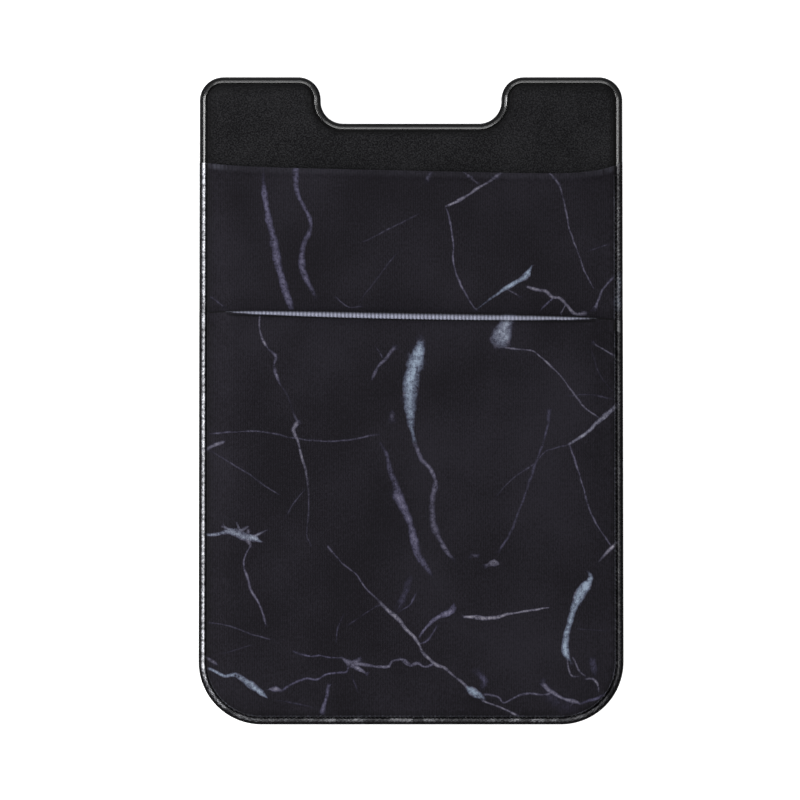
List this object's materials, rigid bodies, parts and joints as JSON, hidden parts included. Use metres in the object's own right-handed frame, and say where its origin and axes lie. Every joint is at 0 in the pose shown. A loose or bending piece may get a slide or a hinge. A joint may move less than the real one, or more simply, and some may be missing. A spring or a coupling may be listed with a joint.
{
  "type": "stick-on phone card holder",
  "caption": "Stick-on card holder for the back of a phone, with a soft notched panel, overlapping stretch-knit pockets, an adhesive back and its release liner.",
  "frame": {"origin": "centre of the bounding box in X and Y, on the release liner's outer face, which the holder lies on", "axes": "+X across the holder to the right seen from the front, +Y towards the thumb notch, +Z out of the front of the pockets"},
  "size_m": [0.0622, 0.095, 0.0033],
  "materials": {
    "panel_suede": "black microfibre suede with a fine matt grain; rim pressed to a smooth glossy double line",
    "printed_knit": "matt stretch knit printed as black marble with pale blue-grey and lavender veins; white yarn shows at the front lip and in the welded edge",
    "adhesive": "milky pressure-sensitive adhesive sheet",
    "liner_paper": "plain coated release paper, unprinted"
  },
  "bodies": {
    "root": {"back_panel": "panel_suede", "rear_pocket": "printed_knit", "front_pocket": "printed_knit", "adhesive_sheet": "adhesive", "release_liner": "liner_paper"}
  },
  "joints": []
}
